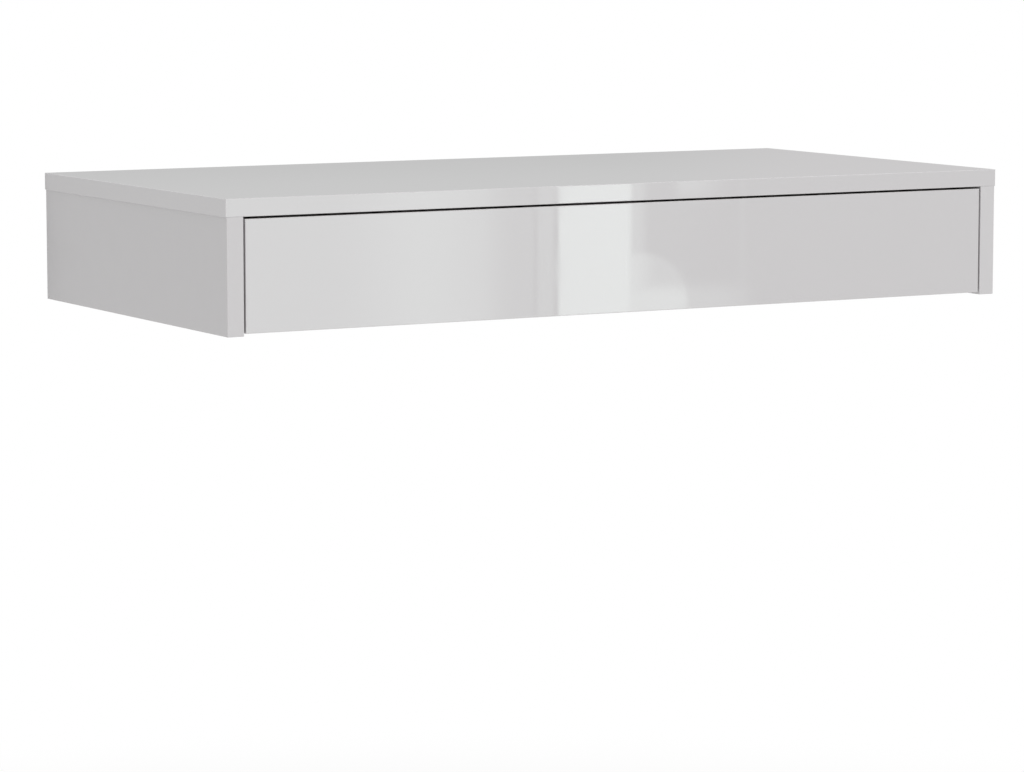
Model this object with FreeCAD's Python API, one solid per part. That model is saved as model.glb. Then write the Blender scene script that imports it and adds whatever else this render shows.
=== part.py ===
import FreeCAD
import Part
import math
import os
from collections import namedtuple

from FreeCAD import Vector

# Floating wall shelf with one handleless drawer on roller runners, in millimetres.
# X runs to the right as seen from the room, Y into the wall and Z up.
# The origin is the middle of the wall screw pattern, on the wall's face.

# Overall size, over the top panel's edge bands
WIDTH = 816.0
DEPTH = 400.0
HEIGHT = 120.0

# Boards and edge bands
BOARD = 16.0
DRAWER_BOARD = 12.0
BOTTOM_BOARD = 3.0
BAND = 1.0
BAND_ROUND = 0.5
DRAWER_EDGE_ROUND = 1.5

# Gaps round the closed drawer front
FRONT_SIDE_GAP = 1.75
FRONT_TOP_GAP = 2.0
FRONT_FOOT_GAP = 2.25

# Room round the drawer box; the fingers reach in under it to pull the front
BOX_TOP_ROOM = 10.0
BOX_REAR_ROOM = 18.0
FINGER_ROOM = 23.75

# Groove for the drawer bottom
GROOVE_RISE = 10.0
GROOVE_DEPTH = 5.0
GROOVE_PLAY = 0.2

# Wall rail and its screw holes
RAIL_FOOT_ROOM = 16.0
WALL_HOLE_RADIUS = 3.0
WALL_SINK_RADIUS = 6.0
WALL_HOLE_END_INSET = 91.0
WALL_HOLE_EDGE_INSET = 24.0

# Roller runners
RUNNER_ROOM = 12.5
RUNNER_SETBACK = 2.0
RUNNER_SIDE_PLAY = 1.8
DRAWER_RUNNER_SETBACK = 1.0
LEG_SETBACK = 1.0
SHEET = 1.2
SHEET_BEND = 0.6
TRACK_DROP = 0.5
ROLLING_GAP = 0.3
FLANGE_COVER = 0.2
CEILING_PLAY = 0.6
CEILING_SETBACK = 40.0
OPEN_OVERLAP = 68.0
STOP_PLAY = 0.5
OPEN_STOP_HEIGHT = 2.0
OPEN_STOP_LENGTH = 4.0
CLOSED_STOP_HEIGHT = 6.0

# Rollers and their pins
ROLLER_RADIUS = 10.0
ROLLER_INSET = 15.0
ROLLER_STANDOFF = 0.8
ROLLER_END_PLAY = 0.3
ROLLER_CHAMFER = 0.6
ROLLER_EDGE_ROOM = 2.0
ROLLER_HOLES = 6
ROLLER_HOLE_RADIUS = 1.5
ROLLER_HOLE_DEPTH = 2.5
PIN_RADIUS = 3.0
PIN_PLAY = 0.05
PIN_HEAD = 1.0
PIN_HEAD_RIM = 1.5
PIN_HEAD_ROOM = 1.5

# Dowels
DOWEL_RADIUS = 4.0
DRAWER_DOWEL_RADIUS = 3.0
DOWEL_EDGE_DEPTH = 19.0
DOWEL_CHAMFER = 0.8
SIDE_DOWELS = 3
RAIL_TOP_DOWELS = 3
RAIL_DOWEL_INSET = 16.0

# Cam locks and their bolts
CAM_RADIUS = 7.5
DRAWER_CAM_RADIUS = 6.0
CAM_EDGE = 24.0
CAM_SKIN = 3.0
CAM_SLOT_WIDTH = 1.4
CAM_SLOT_DEPTH = 1.2
BOLT_PLAY = 0.4
BOLT_THREAD_RADIUS = 3.0
BOLT_SHANK_RADIUS = 3.5
BOLT_NECK_RADIUS = 2.0
BOLT_NECK = 4.0
BOLT_HEAD = 4.0
SIDE_CAM_INSET = 60.0
RAIL_TOP_CAM_INSET = 191.0
BOX_JOINT_INSET = 11.0

# Screws
RUNNER_SCREW_RADIUS = 1.75
RUNNER_SCREW_HEAD_RADIUS = 3.5
RUNNER_SCREWS = 3
RUNNER_SCREW_INSET = 45.0
BACK_SCREW_RADIUS = 2.0
BACK_SCREW_HEAD_RADIUS = 3.75
BACK_SCREW_LENGTH = 40.0
BACK_SCREW_INSET = 12.0
BOTTOM_SCREW_RADIUS = 1.5
BOTTOM_SCREW_HEAD_RADIUS = 3.0
BOTTOM_SCREW_LENGTH = 16.0
BOTTOM_SCREWS = 4
PAN_HEAD = 2.2
SCREW_TIP = 2.5
RECESS_WIDTH = 0.9
RECESS_DEPTH = 1.3

# Clearances of holes, and board left behind a blind hole
HOLE_PLAY = 0.1
HOLE_END_PLAY = 0.5
FACE_SKIN = 5.0
SCREW_SKIN = 3.0

# Directions
RIGHT = Vector(1, 0, 0)
LEFT = Vector(-1, 0, 0)
TO_ROOM = Vector(0, -1, 0)
TO_WALL = Vector(0, 1, 0)
UP = Vector(0, 0, 1)

# Two coordinates closer than this are the same
SAME = 1e-4

# Carcass faces; the wall rail's middle height is the origin's
RAIL_HEIGHT = HEIGHT - BOARD - RAIL_FOOT_ROOM
UNDERSIDE = RAIL_HEIGHT / 2
TOP = UNDERSIDE + BOARD
FOOT = TOP - HEIGHT
FRONT = -DEPTH
OUTER = WIDTH / 2 - BAND
INNER = OUTER - BOARD
SIDE_MIDDLE = OUTER - BOARD / 2

# Drawer front and drawer box faces
FRONT_BACK = FRONT + BOARD
FRONT_EDGE = INNER - FRONT_SIDE_GAP
FRONT_TOP = UNDERSIDE - FRONT_TOP_GAP
FRONT_FOOT = FOOT + FRONT_FOOT_GAP
BOX_OUTER = INNER - RUNNER_ROOM
BOX_INNER = BOX_OUTER - DRAWER_BOARD
BOX_MIDDLE = BOX_OUTER - DRAWER_BOARD / 2
BOX_TOP = UNDERSIDE - BOX_TOP_ROOM
BOX_FOOT = FRONT_FOOT + FINGER_ROOM
BOX_REAR = -(BOARD + BOX_REAR_ROOM)
BACK_MIDDLE = BOX_REAR - DRAWER_BOARD / 2
GROOVE_FLOOR = BOX_FOOT + GROOVE_RISE
GROOVE_HEIGHT = BOTTOM_BOARD + GROOVE_PLAY
BACK_FOOT = GROOVE_FLOOR + BOTTOM_BOARD

# Runner heights, from the track that the rear roller runs on
TRACK = BOX_FOOT - TRACK_DROP
REAR_ROLLER_Z = TRACK + ROLLING_GAP + ROLLER_RADIUS
FLANGE_TOP = REAR_ROLLER_Z + ROLLER_RADIUS + FLANGE_COVER
FLANGE_UNDERSIDE = FLANGE_TOP - SHEET
FRONT_ROLLER_Z = FLANGE_UNDERSIDE - ROLLING_GAP - ROLLER_RADIUS
CEILING = FLANGE_TOP + CEILING_PLAY
RUNNER_MIDDLE = (TRACK + CEILING) / 2

# Runner lengths and the drawer's travel
RUNNER_FRONT = FRONT_BACK + RUNNER_SETBACK
RUNNER_REAR = RUNNER_FRONT + BOX_REAR - FRONT_BACK
FRONT_ROLLER_Y = RUNNER_FRONT + ROLLER_INSET
REAR_ROLLER_Y = BOX_REAR - ROLLER_INSET
TRAVEL = REAR_ROLLER_Y - FRONT_ROLLER_Y - OPEN_OVERLAP
FLANGE_WIDTH = RUNNER_ROOM - 2 * SHEET - RUNNER_SIDE_PLAY
ROLLER_REACH = ROLLER_RADIUS + ROLLER_EDGE_ROOM
PIN_HEAD_SPACE = ROLLER_END_PLAY + PIN_HEAD + PIN_HEAD_ROOM
ROLLER_WIDTH = RUNNER_ROOM - 2 * SHEET - ROLLER_STANDOFF - PIN_HEAD_SPACE

# Blind holes in a board's face, and bores for the cam bolts in its edge
FACE_DEPTH = BOARD - FACE_SKIN
BOLT_BORE_RADIUS = BOLT_SHANK_RADIUS + BOLT_PLAY


def block(x, y, z):
    """Box between two limits along each axis."""
    return Part.makeBox(x[1] - x[0], y[1] - y[0], z[1] - z[0], Vector(x[0], y[0], z[0]))


def rod(start, direction, radius, length):
    """Cylinder from a point along a direction."""
    return Part.makeCylinder(radius, length, start, direction)


def placed(shape, start, direction):
    """Shape drawn at the origin along +Z, turned to a direction and moved to a point."""
    turn = FreeCAD.Rotation(UP, direction)
    return shape.transformed(FreeCAD.Placement(start, turn).toMatrix())


def turned(profile, start, direction):
    """Solid of revolution from (distance, radius) pairs along a direction."""
    first, last = profile[0][0], profile[-1][0]
    outline = [Vector(radius, 0, distance) for distance, radius in profile]
    outline = [Vector(0, 0, first)] + outline + [Vector(0, 0, last), Vector(0, 0, first)]
    face = Part.Face(Part.makePolygon(outline))
    return placed(face.revolve(Vector(), UP, 360), start, direction)


def mirrored(shape):
    """Copy of a shape on the other side of the shelf's middle plane."""
    return shape.mirror(Vector(), RIGHT)


def both_sides(shapes):
    """Right-hand shapes and their left-hand copies."""
    return shapes + [mirrored(shape) for shape in shapes]


def edges_at(shape, **where):
    """Edges that lie at the given coordinates along their whole length."""
    def lies_there(edge):
        return all(abs(getattr(vertex.Point, axis) - value) < SAME
                   for vertex in edge.Vertexes for axis, value in where.items())
    return [edge for edge in shape.Edges if lies_there(edge)]


def spread(count, start, end):
    """Evenly spaced values between two ends, without the ends."""
    return [start + (end - start) * (step + 1) / (count + 1) for step in range(count)]


def spread_to_ends(count, start, end):
    """Evenly spaced values from one end to the other."""
    return [start + (end - start) * step / (count - 1) for step in range(count)]


# Dowels

def dowel(radius, joint, into_face):
    """Wooden pin across a joint, into one board's edge and the other's face."""
    length = DOWEL_EDGE_DEPTH + FACE_DEPTH
    rim = radius - DOWEL_CHAMFER
    profile = [(0, rim), (DOWEL_CHAMFER, radius), (length - DOWEL_CHAMFER, radius), (length, rim)]
    return turned(profile, joint - into_face * DOWEL_EDGE_DEPTH, into_face)


def dowel_hole(radius, joint, into_face):
    """Hole for a dowel through both boards."""
    depth = DOWEL_EDGE_DEPTH + HOLE_END_PLAY
    length = depth + FACE_DEPTH + HOLE_END_PLAY
    return rod(joint - into_face * depth, into_face, radius + HOLE_PLAY, length)


# Cam joints

def cross(reach, width, depth):
    """Cross-shaped cutter below the origin, for a driver."""
    arm = block((-reach, reach), (-width / 2, width / 2), (-depth, 0))
    return arm.fuse(block((-width / 2, width / 2), (-reach, reach), (-depth, 0)))


def bolt_bore(joint, into_face):
    """Bore in the board's edge that lets the bolt's head into the cam."""
    length = CAM_EDGE + BOLT_HEAD
    return rod(joint - into_face * length, into_face, BOLT_BORE_RADIUS, length)


def cam_bolt(joint, into_face):
    """Bolt screwed into one board's face, with a necked head that the cam pulls."""
    head_end = CAM_EDGE + BOLT_HEAD / 2
    neck_end = head_end - BOLT_HEAD
    shank_end = neck_end - BOLT_NECK
    profile = [
        (-head_end, BOLT_SHANK_RADIUS),
        (-neck_end, BOLT_SHANK_RADIUS),
        (-neck_end, BOLT_NECK_RADIUS),
        (-shank_end, BOLT_NECK_RADIUS),
        (-shank_end, BOLT_SHANK_RADIUS),
        (0, BOLT_SHANK_RADIUS),
        (0, BOLT_THREAD_RADIUS),
        (FACE_DEPTH, BOLT_THREAD_RADIUS),
    ]
    return turned(profile, joint, into_face)


def bolt_thread_hole(joint, into_face):
    """Blind hole for the bolt's thread in a board's face."""
    return rod(joint, into_face, BOLT_THREAD_RADIUS + HOLE_PLAY, FACE_DEPTH + HOLE_END_PLAY)


def cam_face_point(joint, into_face, cam_side, board):
    """Middle of the cam's slotted face, flush with its board."""
    return joint - into_face * CAM_EDGE + cam_side * (board / 2)


def cam_lock(joint, into_face, cam_side, board, radius):
    """Round cam in a board's face, hollowed for the bolt and slotted for a driver."""
    face = cam_face_point(joint, into_face, cam_side, board)
    body = rod(face, -cam_side, radius, board - CAM_SKIN)
    slot = placed(cross(radius - CAM_SLOT_WIDTH, CAM_SLOT_WIDTH, CAM_SLOT_DEPTH), face, cam_side)
    return body.cut([bolt_bore(joint, into_face), slot])


def cam_holes(joint, into_face, cam_side, board, radius):
    """Cam hole and bolt bore of the board that holds the cam."""
    face = cam_face_point(joint, into_face, cam_side, board)
    hole = rod(face, -cam_side, radius + HOLE_PLAY, board - CAM_SKIN)
    return [hole, bolt_bore(joint, into_face)]


# Screws

Screw = namedtuple("Screw", "radius head_radius length")


def recess(radius):
    """Driver recess for a screw head of a given radius."""
    return cross(radius - RECESS_WIDTH, RECESS_WIDTH, RECESS_DEPTH)


def shank_profile(screw):
    """Profile of a screw's shank and tip."""
    return [(screw.length - SCREW_TIP, screw.radius), (screw.length, screw.radius / 3)]


def sunk_screw(screw, start, direction):
    """Countersunk screw, its head flush with the start point."""
    sink = screw.head_radius - screw.radius
    profile = [(0, screw.head_radius), (sink, screw.radius)] + shank_profile(screw)
    return turned(profile, start, direction).cut(placed(recess(screw.head_radius), start, -direction))


def sunk_hole(screw, start, direction):
    """Countersunk hole for a countersunk screw."""
    sink = screw.head_radius - screw.radius
    shank = screw.radius + HOLE_PLAY
    profile = [(0, screw.head_radius + HOLE_PLAY), (sink, shank), (screw.length + HOLE_END_PLAY, shank)]
    return turned(profile, start, direction)


def pan_screw(screw, start, direction):
    """Pan head screw, its head seated at the start point."""
    crown = screw.head_radius * math.cos(math.radians(45))
    head = [
        (-PAN_HEAD, crown),
        (-PAN_HEAD / 2, screw.head_radius),
        (0, screw.head_radius),
        (0, screw.radius),
    ]
    body = turned(head + shank_profile(screw), start, direction)
    return body.cut(placed(recess(crown), start - direction * PAN_HEAD, -direction))


def pan_hole(screw, start, direction):
    """Straight hole for a pan head screw."""
    return rod(start, direction, screw.radius + HOLE_PLAY, screw.length + HOLE_END_PLAY)


# Edge bands

def band(x, y, z, outer_face, arrises=({},)):
    """Edge band with arrises of its outer face rounded: all four, or those at the given places."""
    strip = block(x, y, z)
    edges = [edge for place in arrises for edge in edges_at(strip, **outer_face, **place)]
    return strip.makeFillet(BAND_ROUND, edges)


# Joints of the right-hand half

SIDE_CAMS = [Vector(SIDE_MIDDLE, y, UNDERSIDE) for y in (FRONT + SIDE_CAM_INSET, -SIDE_CAM_INSET)]
SIDE_DOWEL_JOINTS = [Vector(SIDE_MIDDLE, y, UNDERSIDE)
                     for y in spread(SIDE_DOWELS, FRONT + SIDE_CAM_INSET, -SIDE_CAM_INSET)]

RAIL_END_CAM = Vector(INNER, -BOARD / 2, 0)
RAIL_END_DOWEL_JOINTS = [Vector(INNER, -BOARD / 2, side * (RAIL_HEIGHT / 2 - RAIL_DOWEL_INSET))
                         for side in (-1, 1)]

RAIL_TOP_CAM_X = INNER - RAIL_TOP_CAM_INSET
RAIL_TOP_CAM = Vector(RAIL_TOP_CAM_X, -BOARD / 2, UNDERSIDE)
RAIL_TOP_DOWEL_JOINTS = [Vector(x, -BOARD / 2, UNDERSIDE)
                         for x in spread(RAIL_TOP_DOWELS, -RAIL_TOP_CAM_X, RAIL_TOP_CAM_X)]

FRONT_DOWEL_HEIGHTS = (GROOVE_FLOOR + GROOVE_HEIGHT + BOX_JOINT_INSET, BOX_TOP - BOX_JOINT_INSET)
FRONT_DOWEL_JOINTS = [Vector(BOX_MIDDLE, FRONT_BACK, z) for z in FRONT_DOWEL_HEIGHTS]
FRONT_CAM = Vector(BOX_MIDDLE, FRONT_BACK, sum(FRONT_DOWEL_HEIGHTS) / 2)

# Where the right-hand roller pins start, on the back of their sheet

FRONT_PIN = Vector(INNER, FRONT_ROLLER_Y, FRONT_ROLLER_Z)
REAR_PIN = Vector(BOX_OUTER, REAR_ROLLER_Y, REAR_ROLLER_Z)

# Screws of the right-hand half

RUNNER_SCREW = Screw(RUNNER_SCREW_RADIUS, RUNNER_SCREW_HEAD_RADIUS, SHEET + BOARD - SCREW_SKIN)
RUNNER_SCREW_POINTS = [Vector(INNER - SHEET, y, RUNNER_MIDDLE)
                       for y in spread_to_ends(RUNNER_SCREWS, RUNNER_FRONT + RUNNER_SCREW_INSET,
                                               RUNNER_REAR - RUNNER_SCREW_INSET)]

LEG_SCREW = Screw(RUNNER_SCREW_RADIUS, RUNNER_SCREW_HEAD_RADIUS, SHEET + GROOVE_RISE - SCREW_SKIN)
LEG_SCREW_POINTS = [Vector(BOX_MIDDLE, y, BOX_FOOT - SHEET)
                    for y in spread_to_ends(RUNNER_SCREWS, FRONT_BACK + RUNNER_SCREW_INSET,
                                            BOX_REAR - RUNNER_SCREW_INSET)]

BACK_SCREW = Screw(BACK_SCREW_RADIUS, BACK_SCREW_HEAD_RADIUS, BACK_SCREW_LENGTH)
BACK_SCREW_POINTS = [Vector(BOX_OUTER, BACK_MIDDLE, z)
                     for z in (BACK_FOOT + BACK_SCREW_INSET, BOX_TOP - BACK_SCREW_INSET)]

BOTTOM_SCREW = Screw(BOTTOM_SCREW_RADIUS, BOTTOM_SCREW_HEAD_RADIUS, BOTTOM_SCREW_LENGTH)
BOTTOM_SCREW_POINTS = [Vector(x, BACK_MIDDLE, GROOVE_FLOOR)
                       for x in spread(BOTTOM_SCREWS, -BOX_INNER, BOX_INNER)]


# Carcass boards

def top_panel():
    """Top board, bored from below for the sides and the wall rail."""
    right_holes = [bolt_thread_hole(joint, UP) for joint in SIDE_CAMS + [RAIL_TOP_CAM]]
    right_holes += [dowel_hole(DOWEL_RADIUS, joint, UP) for joint in SIDE_DOWEL_JOINTS]
    rail_holes = [dowel_hole(DOWEL_RADIUS, joint, UP) for joint in RAIL_TOP_DOWEL_JOINTS]
    board = block((-OUTER, OUTER), (FRONT + BAND, 0), (UNDERSIDE, TOP))
    return board.cut(both_sides(right_holes) + rail_holes)


def top_edge_bands():
    """Bands on the top board's front and on its ends, where they stand proud of the sides."""
    proud = OUTER + BAND
    front = band((-proud, proud), (FRONT, FRONT + BAND), (UNDERSIDE, TOP), {"y": FRONT})
    end = band((OUTER, proud), (FRONT + BAND, 0), (UNDERSIDE, TOP), {"x": proud},
               [{"z": UNDERSIDE}, {"z": TOP}])
    return [front] + both_sides([end])


def right_side_panel():
    """Right side board, bored for the top, the wall rail and the runner screws."""
    holes = [dowel_hole(DOWEL_RADIUS, joint, UP) for joint in SIDE_DOWEL_JOINTS]
    for joint in SIDE_CAMS:
        holes += cam_holes(joint, UP, LEFT, BOARD, CAM_RADIUS)
    holes += [dowel_hole(DOWEL_RADIUS, joint, RIGHT) for joint in RAIL_END_DOWEL_JOINTS]
    holes += [bolt_thread_hole(RAIL_END_CAM, RIGHT)]
    holes += [sunk_hole(RUNNER_SCREW, point, RIGHT) for point in RUNNER_SCREW_POINTS]
    board = block((INNER, OUTER), (FRONT + BAND, 0), (FOOT + BAND, UNDERSIDE))
    return board.cut(holes)


def side_edge_bands():
    """Bands on the front and lower edges of both side boards."""
    front = band((INNER, OUTER), (FRONT, FRONT + BAND), (FOOT, UNDERSIDE), {"y": FRONT},
                 [{"x": INNER}, {"x": OUTER}, {"z": FOOT}])
    foot = band((INNER, OUTER), (FRONT + BAND, 0), (FOOT, FOOT + BAND), {"z": FOOT},
                [{"x": INNER}, {"x": OUTER}])
    return both_sides([front, foot])


def wall_hole(x, z):
    """Through hole for a wall screw, countersunk on the room side."""
    sink = WALL_SINK_RADIUS - WALL_HOLE_RADIUS
    profile = [(0, WALL_SINK_RADIUS), (sink, WALL_HOLE_RADIUS), (BOARD, WALL_HOLE_RADIUS)]
    return turned(profile, Vector(x, -BOARD, z), TO_WALL)


def wall_rail():
    """Board between the sides that carries the shelf on the wall."""
    holes = cam_holes(RAIL_END_CAM, RIGHT, TO_ROOM, BOARD, CAM_RADIUS)
    holes += cam_holes(RAIL_TOP_CAM, UP, TO_ROOM, BOARD, CAM_RADIUS)
    holes += [dowel_hole(DOWEL_RADIUS, joint, RIGHT) for joint in RAIL_END_DOWEL_JOINTS]
    for side in (-1, 1):
        height = side * (RAIL_HEIGHT / 2 - WALL_HOLE_EDGE_INSET)
        holes += [wall_hole(INNER - WALL_HOLE_END_INSET, height)]
    middle_holes = [dowel_hole(DOWEL_RADIUS, joint, UP) for joint in RAIL_TOP_DOWEL_JOINTS]
    board = block((-INNER, INNER), (-BOARD, 0), (-RAIL_HEIGHT / 2, UNDERSIDE))
    return board.cut(both_sides(holes) + middle_holes)


def carcass_dowels():
    """Dowels between top, sides and wall rail."""
    right = [dowel(DOWEL_RADIUS, joint, UP) for joint in SIDE_DOWEL_JOINTS]
    right += [dowel(DOWEL_RADIUS, joint, RIGHT) for joint in RAIL_END_DOWEL_JOINTS]
    middle = [dowel(DOWEL_RADIUS, joint, UP) for joint in RAIL_TOP_DOWEL_JOINTS]
    return both_sides(right) + middle


def carcass_cam_locks():
    """Cams in the sides and the wall rail."""
    right = [cam_lock(joint, UP, LEFT, BOARD, CAM_RADIUS) for joint in SIDE_CAMS]
    right += [cam_lock(RAIL_END_CAM, RIGHT, TO_ROOM, BOARD, CAM_RADIUS)]
    right += [cam_lock(RAIL_TOP_CAM, UP, TO_ROOM, BOARD, CAM_RADIUS)]
    return both_sides(right)


def carcass_cam_bolts():
    """Bolts that the carcass cams pull."""
    right = [cam_bolt(joint, UP) for joint in SIDE_CAMS + [RAIL_TOP_CAM]]
    return both_sides(right + [cam_bolt(RAIL_END_CAM, RIGHT)])


# Runners, pins and rollers

def right_carcass_runner():
    """Channel on the right side board: a track below, a ceiling above and two stops."""
    lip = INNER - SHEET - FLANGE_WIDTH
    length = (RUNNER_FRONT, RUNNER_REAR)
    outside = block((lip, INNER), length, (TRACK - SHEET, CEILING + SHEET))
    bends = edges_at(outside, x=INNER, z=TRACK - SHEET) + edges_at(outside, x=INNER, z=CEILING + SHEET)
    outside = outside.makeFillet(SHEET + SHEET_BEND, bends)
    inside = block((lip - SHEET, INNER - SHEET), length, (TRACK, CEILING))
    bends = edges_at(inside, x=INNER - SHEET, z=TRACK) + edges_at(inside, x=INNER - SHEET, z=CEILING)
    channel = outside.cut(inside.makeFillet(SHEET_BEND, bends))

    flange_x = (lip, INNER - SHEET - SHEET_BEND)
    track_start = FRONT_ROLLER_Y + ROLLER_REACH
    ceiling_start = FRONT_ROLLER_Y + CEILING_SETBACK
    below = (TRACK - SHEET, TRACK + SHEET_BEND)
    above = (CEILING - SHEET_BEND, CEILING + SHEET)
    no_track = block((lip, INNER - SHEET), (RUNNER_FRONT, track_start), below)
    no_ceiling = block((lip, INNER - SHEET), (RUNNER_FRONT, ceiling_start), above)

    stop_rise = OPEN_STOP_HEIGHT - ROLLING_GAP
    half_chord = math.sqrt(stop_rise * (2 * ROLLER_RADIUS - stop_rise))
    open_y = REAR_ROLLER_Y - TRAVEL - half_chord - STOP_PLAY
    open_stop = block(flange_x, (open_y - OPEN_STOP_LENGTH, open_y), (TRACK, TRACK + OPEN_STOP_HEIGHT))
    closed_y = REAR_ROLLER_Y + ROLLER_RADIUS + STOP_PLAY
    closed_stop = block(flange_x, (closed_y, closed_y + SHEET), (TRACK, TRACK + CLOSED_STOP_HEIGHT))

    runner = channel.cut([no_track, no_ceiling]).fuse([open_stop, closed_stop]).removeSplitter()
    holes = [sunk_hole(RUNNER_SCREW, point, RIGHT) for point in RUNNER_SCREW_POINTS]
    return runner.cut(holes + [pin_hole(FRONT_PIN, LEFT)])


def right_drawer_runner():
    """Bent strip on the right drawer side: a leg below, a web, and a flange that rides on the roller."""
    web = BOX_OUTER + SHEET
    tip = web + FLANGE_WIDTH
    leg = BOX_INNER + LEG_SETBACK
    heel = BOX_FOOT - SHEET
    start = FRONT_BACK + DRAWER_RUNNER_SETBACK
    corners = [
        (leg, heel),
        (web, heel),
        (web, FLANGE_UNDERSIDE),
        (tip, FLANGE_UNDERSIDE),
        (tip, FLANGE_TOP),
        (BOX_OUTER, FLANGE_TOP),
        (BOX_OUTER, BOX_FOOT),
        (leg, BOX_FOOT),
    ]
    outline = [Vector(x, start, z) for x, z in corners]
    section = Part.Face(Part.makePolygon(outline + outline[:1]))
    strip = section.extrude(TO_WALL * (BOX_REAR - start))
    outer_bends = edges_at(strip, x=web, z=heel) + edges_at(strip, x=BOX_OUTER, z=FLANGE_TOP)
    strip = strip.makeFillet(SHEET + SHEET_BEND, outer_bends)
    inner_bends = edges_at(strip, x=web, z=FLANGE_UNDERSIDE) + edges_at(strip, x=BOX_OUTER, z=BOX_FOOT)
    strip = strip.makeFillet(SHEET_BEND, inner_bends)

    no_flange = block((web, tip), (REAR_ROLLER_Y - ROLLER_REACH, BOX_REAR),
                      (FLANGE_UNDERSIDE - SHEET_BEND, FLANGE_TOP))
    holes = [pan_hole(LEG_SCREW, point, UP) for point in LEG_SCREW_POINTS]
    return strip.cut(holes + [no_flange, pin_hole(REAR_PIN, RIGHT)])


def pin_hole(start, direction):
    """Hole in the sheet for a roller pin."""
    return rod(start, direction, PIN_RADIUS, SHEET)


def roller_pin(start, direction):
    """Rivet pin through the sheet, with a collar behind the roller and a head before it."""
    collar = SHEET + ROLLER_STANDOFF - ROLLER_END_PLAY
    head = SHEET + ROLLER_STANDOFF + ROLLER_WIDTH + ROLLER_END_PLAY
    rim = PIN_RADIUS + PIN_HEAD_RIM
    profile = [
        (0, PIN_RADIUS),
        (SHEET, PIN_RADIUS),
        (SHEET, rim),
        (collar, rim),
        (collar, PIN_RADIUS),
        (head, PIN_RADIUS),
        (head, rim),
        (head + PIN_HEAD, rim),
    ]
    return turned(profile, start, direction)


def roller(pin, direction):
    """Plastic roller on a pin, with lightening holes in its open face."""
    start = pin + direction * (SHEET + ROLLER_STANDOFF)
    rim = ROLLER_RADIUS - ROLLER_CHAMFER
    profile = [
        (0, rim),
        (ROLLER_CHAMFER, ROLLER_RADIUS),
        (ROLLER_WIDTH - ROLLER_CHAMFER, ROLLER_RADIUS),
        (ROLLER_WIDTH, rim),
    ]
    cutters = [rod(start, direction, PIN_RADIUS + PIN_PLAY, ROLLER_WIDTH)]
    face = start + direction * ROLLER_WIDTH
    ring = (PIN_RADIUS + ROLLER_RADIUS) / 2
    for step in range(ROLLER_HOLES):
        angle = 2 * math.pi * step / ROLLER_HOLES
        spoke = Vector(0, math.cos(angle), math.sin(angle)) * ring
        cutters += [rod(face + spoke, -direction, ROLLER_HOLE_RADIUS, ROLLER_HOLE_DEPTH)]
    return turned(profile, start, direction).cut(cutters)


# Drawer

def drawer_front():
    """Drawer front board, bored and grooved on its back."""
    holes = [dowel_hole(DRAWER_DOWEL_RADIUS, joint, TO_ROOM) for joint in FRONT_DOWEL_JOINTS]
    holes += [bolt_thread_hole(FRONT_CAM, TO_ROOM)]
    groove_end = BOX_INNER + GROOVE_DEPTH
    groove = block((-groove_end, groove_end), (FRONT_BACK - GROOVE_DEPTH, FRONT_BACK),
                   (GROOVE_FLOOR, GROOVE_FLOOR + GROOVE_HEIGHT))
    half = FRONT_EDGE - BAND
    board = block((-half, half), (FRONT, FRONT_BACK), (FRONT_FOOT + BAND, FRONT_TOP - BAND))
    return board.cut(both_sides(holes) + [groove])


def drawer_front_edge_bands():
    """Bands round the drawer front, the long ones covering the ends of the short ones."""
    depth = (FRONT, FRONT_BACK)
    half = FRONT_EDGE - BAND
    inner_foot = FRONT_FOOT + BAND
    inner_top = FRONT_TOP - BAND
    wide = (-FRONT_EDGE, FRONT_EDGE)
    upper = band(wide, depth, (inner_top, FRONT_TOP), {"z": FRONT_TOP})
    lower = band(wide, depth, (FRONT_FOOT, inner_foot), {"z": FRONT_FOOT})
    end = band((half, FRONT_EDGE), depth, (inner_foot, inner_top), {"x": FRONT_EDGE},
               [{"y": FRONT}, {"y": FRONT_BACK}])
    return [upper, lower] + both_sides([end])


def drawer_right_side():
    """Right drawer side, wrapped round its long edges and grooved for the bottom."""
    board = block((BOX_INNER, BOX_OUTER), (FRONT_BACK, BOX_REAR), (BOX_FOOT, BOX_TOP))
    wrapped = [edge for z in (BOX_FOOT, BOX_TOP) for x in (BOX_INNER, BOX_OUTER)
               for edge in edges_at(board, x=x, z=z)]
    board = board.makeFillet(DRAWER_EDGE_ROUND, wrapped)
    groove = block((BOX_INNER, BOX_INNER + GROOVE_DEPTH), (FRONT_BACK, BOX_REAR),
                   (GROOVE_FLOOR, GROOVE_FLOOR + GROOVE_HEIGHT))
    holes = cam_holes(FRONT_CAM, TO_ROOM, LEFT, DRAWER_BOARD, DRAWER_CAM_RADIUS)
    holes += [dowel_hole(DRAWER_DOWEL_RADIUS, joint, TO_ROOM) for joint in FRONT_DOWEL_JOINTS]
    holes += [pan_hole(LEG_SCREW, point, UP) for point in LEG_SCREW_POINTS]
    holes += [sunk_hole(BACK_SCREW, point, LEFT) for point in BACK_SCREW_POINTS]
    return board.cut(holes + [groove])


def drawer_back():
    """Drawer back, standing on the bottom between the sides."""
    board = block((-BOX_INNER, BOX_INNER), (BOX_REAR - DRAWER_BOARD, BOX_REAR), (BACK_FOOT, BOX_TOP))
    wrapped = edges_at(board, y=BOX_REAR, z=BOX_TOP) + edges_at(board, y=BOX_REAR - DRAWER_BOARD, z=BOX_TOP)
    board = board.makeFillet(DRAWER_EDGE_ROUND, wrapped)
    end_holes = [sunk_hole(BACK_SCREW, point, LEFT) for point in BACK_SCREW_POINTS]
    foot_holes = [pan_hole(BOTTOM_SCREW, point, UP) for point in BOTTOM_SCREW_POINTS]
    return board.cut(both_sides(end_holes) + foot_holes)


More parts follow.
